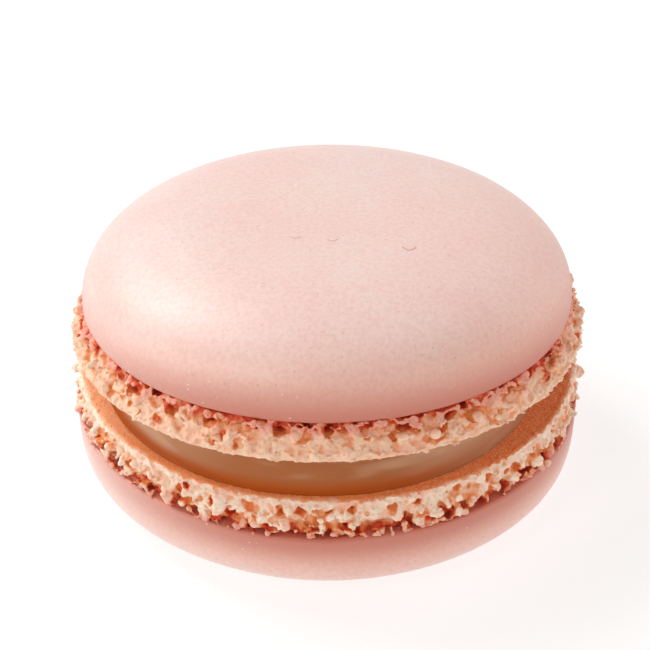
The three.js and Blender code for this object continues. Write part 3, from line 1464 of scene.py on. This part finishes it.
@dataclass(frozen=True)
class Thread:
    """A fine curved thread of crust on the dome, seen from above: its two ends and its middle."""

    start: tuple[float, float]
    middle: tuple[float, float]
    end: tuple[float, float]
    thickness: float

    def points(self, count: int) -> list[tuple[float, float]]:
        """Walks along the curve through the middle.

        Args:
            count: how many points to give, the ends among them.

        Returns:
            The points (x, y), in millimetres.
        """
        made = []
        for i in range(count):
            share = i / (count - 1)
            ends = (1 - share) * Vector(self.start) + share * Vector(self.end)
            bend = Vector(self.middle) - (Vector(self.start) + Vector(self.end)) / 2
            made.append(tuple(ends + bend * (4 * share * (1 - share))))
        return made


THREAD_POINTS = 15
# How far each bead of a thread reaches, as a share of the way to the next one.
BEAD_REACH = 0.9
# The level from which a thread is dropped on the dome, in millimetres.
LOOKOUT = 100.0
# How finely the beads are melted together, in millimetres.
THREAD_VOXEL = 0.015


def lay_threads(name: str, crown: bpy.types.Object, threads: Iterable[Thread]) -> bpy.types.Object:
    """Lays threads on a dome, half sunk in its skin.

    Args:
        name: the name of the new piece.
        crown: the dome, in its own frame with its top up.
        threads: the threads to lay.

    Returns:
        One piece that holds them all.
    """
    bm = bmesh.new()
    bm.from_mesh(crown.data)
    tree = BVHTree.FromBMesh(bm)
    bm.free()
    blobs = Blobs(2)
    for thread in threads:
        path = thread.points(THREAD_POINTS)
        for (x, y), (next_x, next_y) in zip(path, path[1:]):
            hit = tree.ray_cast(Vector((x, y, LOOKOUT)), Vector((0, 0, -1)))[0]
            along = Vector((next_x - x, next_y - y))
            size = (along.length * BEAD_REACH, thread.thickness, thread.thickness)
            blobs.add(hit, math.atan2(along.y, along.x), size)
    piece = blobs.as_object(name)
    voxel_melt(piece, THREAD_VOXEL)
    return piece


# ---------------------------------------------------------------- the studio


@dataclass(frozen=True)
class Lamp:
    """A square soft light aimed at the macaron."""

    name: str
    place: tuple[float, float, float]
    side: float
    power: float
    colour: Colour = (1.0, 1.0, 1.0)

    def build(self, target: Vector) -> None:
        """Makes the light.

        Args:
            target: the point that it is turned towards, in metres.
        """
        data = bpy.data.lights.new(self.name, "AREA")
        data.shape = "SQUARE"
        data.size = self.side
        data.energy = self.power
        data.color = self.colour
        lamp = bpy.data.objects.new(self.name, data)
        lamp.location = self.place
        lamp.rotation_euler = (target - Vector(self.place)).to_track_quat("-Z", "Y").to_euler()
        bpy.context.scene.collection.objects.link(lamp)


@dataclass(frozen=True)
class Studio:
    """The pale floor, the soft lights and the camera."""

    elevation: float = 32.95
    distance: float = 0.1423
    lens: float = 85.0
    shift_x: float = -0.0032
    shift_y: float = 0.0055
    clip_start: float = 0.01
    floor_radius: float = 1.2
    floor_segments: int = 96
    floor_roughness: float = 0.8
    floor_shade: float = 0.4
    floor_glow: float = 0.66
    ambient: float = 0.37
    lamps: tuple[Lamp, ...] = (
        Lamp("key", (-0.28, 0.20, 0.36), 0.28, 1.62),
        Lamp("rim", (0.34, 0.16, 0.16), 0.24, 0.35),
        Lamp("side", (-0.42, -0.08, 0.14), 0.26, 0.40),
        Lamp("front", (-0.24, -0.30, 0.34), 0.12, 0.36, (1.0, 0.91, 0.85)),
        Lamp("warm", (0.28, -0.28, 0.22), 0.30, 0.30, (1.0, 0.74, 0.62)),
    )

    def floor(self) -> None:
        """Lays a wide pale disc under the macaron."""
        bm = bmesh.new()
        bmesh.ops.create_circle(bm, cap_ends=True, segments=self.floor_segments, radius=self.floor_radius)
        piece = as_object(bm, "floor")
        material = bpy.data.materials.new("floor")
        material.use_nodes = True
        shader = next(n for n in material.node_tree.nodes if n.type == "BSDF_PRINCIPLED")
        shader.inputs["Base Color"].default_value = (*[self.floor_shade] * 3, 1.0)
        shader.inputs["Roughness"].default_value = self.floor_roughness
        shader.inputs["Emission Color"].default_value = (1.0, 1.0, 1.0, 1.0)
        shader.inputs["Emission Strength"].default_value = self.floor_glow
        piece.data.materials.append(material)

    def camera(self, target: Vector) -> None:
        """Places the camera in front of the macaron, looking down on it.

        Args:
            target: the point that it looks at, in metres.
        """
        data = bpy.data.cameras.new("camera")
        data.lens = self.lens
        data.shift_x = self.shift_x
        data.shift_y = self.shift_y
        data.clip_start = self.clip_start
        camera = bpy.data.objects.new("camera", data)
        tilt = math.radians(self.elevation)
        back = Vector((0.0, -math.cos(tilt), math.sin(tilt)))
        camera.location = target + back * self.distance
        camera.rotation_euler = (-back).to_track_quat("-Z", "Y").to_euler()
        bpy.context.scene.collection.objects.link(camera)
        bpy.context.scene.camera = camera

    def build(self, target: Vector) -> None:
        """Sets up everything around the macaron.

        Args:
            target: the point that the camera and the lights look at, in metres.
        """
        self.floor()
        self.camera(target)
        for lamp in self.lamps:
            lamp.build(target)
        world = bpy.data.worlds.new("studio")
        world.use_nodes = True
        background = world.node_tree.nodes["Background"]
        background.inputs["Color"].default_value = (1.0, 1.0, 1.0, 1.0)
        background.inputs["Strength"].default_value = self.ambient
        bpy.context.scene.world = world
        bpy.context.scene.view_settings.view_transform = "Standard"


# ---------------------------------------------------------------- putting it together


class Macaron:
    """The whole macaron: which pieces there are, what they stand for and what they wear."""

    lower_form = ShellForm(
        crown_radius=23.4, crown_height=7.0, crown_roundness=4.1, crown_fullness=5.1,
        foot_height=3.9, lip_radius=23.1, foot_bulge=0.35, flat_spot=11.0,
    )
    upper_form = ShellForm(
        crown_radius=22.0, crown_height=7.2, crown_roundness=3.7, crown_fullness=2.25,
        foot_height=3.2, lip_radius=23.5, foot_bulge=0.25, flat_spot=2.0,
    )
    lower_seed = 11
    upper_seed = 23
    lower_trims = {"groove": 0.75}
    upper_trims = {"groove": 0.45, "lip_hang": 0.35, "skin_from": 0.68, "flush_from": 0.48}
    threads = (
        Thread((6.42, -6.2), (6.98, -6.7), (7.58, -6.15), 0.045),
        Thread((0.1, -4.95), (0.5, -5.22), (0.95, -4.85), 0.035),
        Thread((-3.0, -4.5), (-2.6, -4.65), (-2.3, -4.3), 0.03),
    )
    cream_thickness = 3.75
    underside_lean = Lean(0.016, -0.029)
    dome_lean = Lean(0.008, -0.02)
    view_above_underside = 1.935

    def __init__(self) -> None:
        """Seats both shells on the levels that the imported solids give."""
        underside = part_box("cream_filling")[0].z / METRES_PER_MM
        self.lower = Seat(Facing.DOWN, underside)
        above_cream = underside + self.cream_thickness
        self.upper = Seat(Facing.UP, above_cream, self.underside_lean, self.dome_lean)
        self.groups = ShaderGroups()
        self.crown_finish = CrownFinish("dome skin", 0.45, 0.15, 0.0010).build(self.groups)
        self.foot_finish = FootFinish("foot crumb", 0.6, 0.14, 0.0005).build(self.groups)
        self.thread_finish = ThreadFinish("crust thread", 0.5, 0.0, 0.001).build(self.groups)
        self.cream_finish = CreamFinish("caramel cream", 0.38, 0.3, 0.0012).build(self.groups)

    def middle(self) -> Vector:
        """The point between the two undersides that the camera looks at, in metres."""
        return Vector((0.0, 0.0, self.lower.underside + self.view_above_underside)) * METRES_PER_MM

    def finish(self, piece: bpy.types.Object, node: str, slot: str, material: bpy.types.Material) -> None:
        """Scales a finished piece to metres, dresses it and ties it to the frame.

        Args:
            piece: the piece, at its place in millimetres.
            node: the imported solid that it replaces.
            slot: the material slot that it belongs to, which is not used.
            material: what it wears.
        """
        mesh = piece.data
        mesh.transform(Matrix.Scale(METRES_PER_MM, 4))
        mesh.materials.clear()
        mesh.materials.append(material)
        mesh.shade_smooth()
        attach(piece, "root")
        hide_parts(node)
        triangles = sum(len(face.vertices) - 2 for face in mesh.polygons)
        log.info("%s: %d triangles", piece.name, triangles)

    def build(self) -> None:
        """Builds every piece in order, from the bottom up."""
        for name, form, seat, seed, trims in (
            ("lower", self.lower_form, self.lower, self.lower_seed, self.lower_trims),
            ("upper", self.upper_form, self.upper, self.upper_seed, self.upper_trims),
        ):
            node = name + "_shell"
            crown = Crown(name + "_crown", form, seed).build()
            foot = Foot(name + "_foot", form, seed, **trims).build(crown)
            dressed = [(crown, self.crown_finish), (foot, self.foot_finish)]
            if seat.facing is Facing.UP:
                dressed.append((lay_threads("upper_threads", crown, self.threads), self.thread_finish))
            for piece, finish in dressed:
                seat.place(piece.data, form.foot_height)
                self.finish(piece, node, "shell", finish)
        cream = Cream("cream_layer", self.lower, self.upper).build()
        self.finish(cream, "cream_filling", "cream", self.cream_finish)


def main() -> None:
    """Builds the macaron and its studio."""
    logging.basicConfig(level=logging.INFO, format="%(name)s: %(message)s")
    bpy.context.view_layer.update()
    macaron = Macaron()
    macaron.build()
    Studio().build(macaron.middle())


if __name__ == "__main__":
    main()
